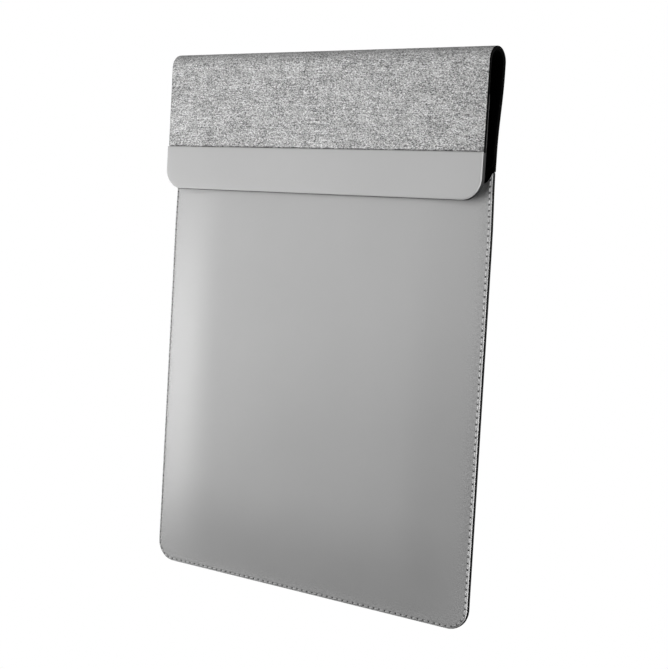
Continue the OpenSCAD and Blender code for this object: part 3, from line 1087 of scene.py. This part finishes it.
def strip(name, half, low, high, radius, front, back, rounding, crown, *mats):
    """A stiff strip: closed, with rounded edges and a slight crown on its front."""
    middle = (high - low) / 2
    insets = [i for i in (0, 0.12, 0.35, 0.7, 1.3, 2.6, 5.0, 8.5) if i <= middle - 0.5]
    insets.append(middle - 0.6)
    rings = []
    for face, side in ((front, FRONT), (back, BACK)):
        for inset in insets:
            rounded = rounding * max(0, 1 - inset / (rounding * 1.2)) ** 2
            lift = crown * (1 - math.exp(-inset / 2.5)) if side == FRONT else 0
            outline = rounded_outline(half, low, high, radius, inset)
            rings.append(flat_loop(outline, face - side * rounded + side * lift))
    count = len(rings[0])
    loops = [list(range(k * count, (k + 1) * count)) for k in range(len(rings))]
    n = len(insets)
    faces = []
    for a, b in zip(loops[:n - 1] + loops[n:-1], loops[1:n] + loops[n + 1:]):
        faces += bridge(a, b)
    faces += bridge(loops[0], loops[n])
    faces += [loops[n - 1], loops[-1]]
    obj = add_mesh(name, np.concatenate(rings), faces, *mats)
    sharpen(obj, 60)
    return obj


def flap_trim():
    """The smooth strip on the front of the flap's end, with dark cut sides."""
    obj = strip("trim_strip", FLAP_HALF, trim_low[2], trim_high[2], FLAP_CORNER_R,
                trim_low[1] - TRIM_PROUD, trim_high[1], 0.55, 0.25, TRIM_LEATHER, DARK_EDGE)
    for p in obj.data.polygons:
        looks_sideways = abs(p.normal[1]) < 0.3
        p.material_index = int(looks_sideways and p.center[2] / MM < trim_high[2] - 0.6)
    store(obj, "seam", np.zeros(len(obj.data.vertices)))
    stand_in(obj, ["flap_trim"], "flap")


def flap_edge():
    """Dark sealed edge that wraps the sides of the flap's end, behind the trim."""
    front, back = trim_high[1] - TRIM_PROUD, facing_high[1] - 0.15
    section = [(-0.5, front), (0.10, front), (0.22, front + 0.5), (0.24, (front + back) / 2),
               (0.20, back - 0.5), (0.05, back), (-0.5, back)]
    loops = []
    for out, y in section:
        half, top = FLAP_HALF + out, trim_high[2]
        xz = sides_and_base(half, trim_low[2] - out, top, FLAP_CORNER_R + out, 0, 0.5, 22)
        loops.append(flat_loop([(-half, top - 0.4)] + xz, y))
    obj = swept("flap_edge_paint", loops, DARK_EDGE, 60)
    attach(obj, "flap")


flap_trim()
stand_in(strip("flap_facing_strip", FLAP_HALF, facing_low[2], facing_high[2], FLAP_CORNER_R,
               facing_low[1] + GAP, facing_high[1], 0.25, 0, FACING),
         ["flap_facing"], "flap")
stand_in(strip("flap_board_strip", FLAP_HALF - BOARD_INSET, board_low[2] + BOARD_INSET,
               board_high[2], FLAP_CORNER_R - 0.2, board_low[1] + GAP, board_high[1] - GAP,
               0.2, 0, DARK_EDGE),
         ["flap_board"], "flap")
flap_edge()


# -------------------------------- CAD nodes that stay

for node, mat in (("mouth_board", BOARD), ("mouth_magnets", MAGNET), ("flap_magnets", MAGNET)):
    mesh = frame["nodes"][node].data
    mesh.materials.clear()
    mesh.materials.append(mat)


# -------------------------------- stage, lights and camera

TARGET = np.array([14.69, SEAM_Y - 0.19, 166.34])
VIEW_AZIMUTH, VIEW_ELEVATION, VIEW_ROLL = 34.496, 4.593, 3.294
VIEW_DISTANCE = 839.6
LENS, SENSOR_WIDTH = 72.75449, 36.0


def view_axes(azimuth, elevation):
    """Right, up and back directions of a view; at azimuth 0 it looks along +Y."""
    az, el = math.radians(azimuth), math.radians(elevation)
    back = np.array([math.sin(az) * math.cos(el), -math.cos(az) * math.cos(el), math.sin(el)])
    right = np.array([math.cos(az), math.sin(az), 0])
    return right, np.cross(back, right), back


def put(name, data, axes, at):
    """Puts a camera or a light at a point in millimetres, turned to its three axes."""
    obj = bpy.data.objects.new(name, data)
    bpy.context.scene.collection.objects.link(obj)
    columns = np.stack([*axes, at * MM], 1)
    obj.matrix_world = Matrix([list(row) for row in columns] + [[0, 0, 0, 1]])
    return obj


def add_camera():
    """The view of the sleeve from the front and the right, a little rolled."""
    right, up, back = view_axes(VIEW_AZIMUTH, VIEW_ELEVATION)
    roll = math.radians(VIEW_ROLL)
    x_axis = math.cos(roll) * right + math.sin(roll) * up
    y_axis = -math.sin(roll) * right + math.cos(roll) * up
    data = bpy.data.cameras.new("camera")
    data.sensor_fit = "HORIZONTAL"
    data.sensor_width = SENSOR_WIDTH
    data.lens = LENS
    eye = TARGET + back * VIEW_DISTANCE
    bpy.context.scene.camera = put("camera", data, (x_axis, y_axis, back), eye)


def add_area_light(name, azimuth, distance, size, power, aim):
    """A level soft light that looks at the point aim, in millimetres."""
    right, up, back = view_axes(azimuth, 0)
    data = bpy.data.lights.new(name, "AREA")
    data.shape = "RECTANGLE"
    data.size, data.size_y = size[0] * MM, size[1] * MM
    data.energy = power
    put(name, data, (right, up, back), np.array(aim) + back * distance)


def seen_and_lit(tree, seen, lit):
    """Mixes a shader for camera rays with one for all other rays."""
    path = tree.nodes.new("ShaderNodeLightPath")
    mix = tree.nodes.new("ShaderNodeMixShader")
    tree.links.new(path.outputs["Is Camera Ray"], mix.inputs[0])
    tree.links.new(lit, mix.inputs[1])
    tree.links.new(seen, mix.inputs[2])
    return mix.outputs[0]


def add_world(ambient):
    """White to the camera, and a weak even light to the sleeve."""
    world = bpy.data.worlds.new("studio")
    world.use_nodes = True
    tree = world.node_tree
    tree.nodes.clear()
    seen = add_node(tree, "ShaderNodeBackground", Color=grey(1), Strength=1.0)
    lit = add_node(tree, "ShaderNodeBackground", Color=grey(1), Strength=ambient)
    out = tree.nodes.new("ShaderNodeOutputWorld")
    shader = seen_and_lit(tree, seen.outputs[0], lit.outputs[0])
    tree.links.new(shader, out.inputs["Surface"])
    bpy.context.scene.world = world


def add_floor():
    """A wide floor that bounces a little light and is plain white to the camera."""
    half, drop, bounce = 30000, 0.3, 0.12
    corners = [(-half, -half, -drop), (half, -half, -drop), (half, half, -drop),
               (-half, half, -drop)]
    mat = bpy.data.materials.new("white_floor")
    mat.use_nodes = True
    tree = mat.node_tree
    tree.nodes.clear()
    white = add_node(tree, "ShaderNodeEmission", Color=grey(1), Strength=1.0)
    matte = add_node(tree, "ShaderNodeBsdfDiffuse", Color=grey(bounce))
    out = tree.nodes.new("ShaderNodeOutputMaterial")
    tree.links.new(seen_and_lit(tree, white.outputs[0], matte.outputs[0]),
                   out.inputs["Surface"])
    add_mesh("floor", corners, [[0, 1, 2, 3]], mat)


AMBIENT = 0.19
SOFT_BOX, TALL_BOX, WIDE_BOX = (260, 260), (300, 600), (600, 600)
add_camera()
add_world(AMBIENT)
add_floor()
for name, azimuth, height, distance, size, power in (
        ("front_high", 10, 280, 380, SOFT_BOX, 0.83),
        ("left_low", -75, 80, 380, SOFT_BOX, 1.19),
        ("front_far", -15, 180, 600, SOFT_BOX, 0.52),
        ("left_high", -55, 280, 380, SOFT_BOX, 0.27),
        ("right_edge", 100, 170, 900, TALL_BOX, 10.5),
        ("back", 205, 170, 1100, WIDE_BOX, 7.0)):
    add_area_light(name, azimuth, distance, size, power, (-20, 0, height))
bpy.context.scene.view_settings.view_transform = "Standard"
